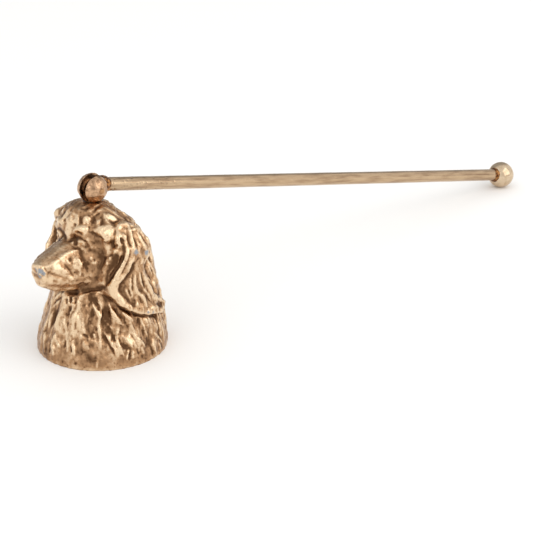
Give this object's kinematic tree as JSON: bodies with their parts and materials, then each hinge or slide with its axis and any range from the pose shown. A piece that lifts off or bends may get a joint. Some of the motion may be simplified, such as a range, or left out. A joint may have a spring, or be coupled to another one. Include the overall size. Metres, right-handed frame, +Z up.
{
  "type": "candle snuffer",
  "caption": "Candle snuffer with a hollow cast cup shaped as a long-eared dog's head, hinged by a pin in a slotted ball to a long round handle that ends in a ball.",
  "frame": {"origin": "middle of the cup's mouth, on the table that the rim stands on", "axes": "+Z up out of the crown, -Z out of the mouth, the dog looks along -Y, the handle runs along +Y, +X across the hinge pin to the dog's left"},
  "size_m": [0.0382, 0.2102, 0.0529],
  "materials": {
    "cast_gilt": "satin",
    "brass_ball": "satin",
    "steel_pin": "satin",
    "brass_rod": "satin",
    "braze": "matte"
  },
  "bodies": {
    "cup": {"dog_head_cup": "cast_gilt"},
    "handle": {"knuckle_ball": "brass_ball", "hinge_pin": "steel_pin", "handle_rod": "brass_rod", "end_ball": "brass_ball", "knuckle_braze": "braze", "end_ball_braze": "braze"}
  },
  "joints": [
    {"name": "handle_swing", "type": "hinge", "parent": "cup", "child": "handle", "pos_m": [0, -0.00135, 0.0486], "axis": [1, 0, 0], "range_deg": [-6, 180]}
  ]
}
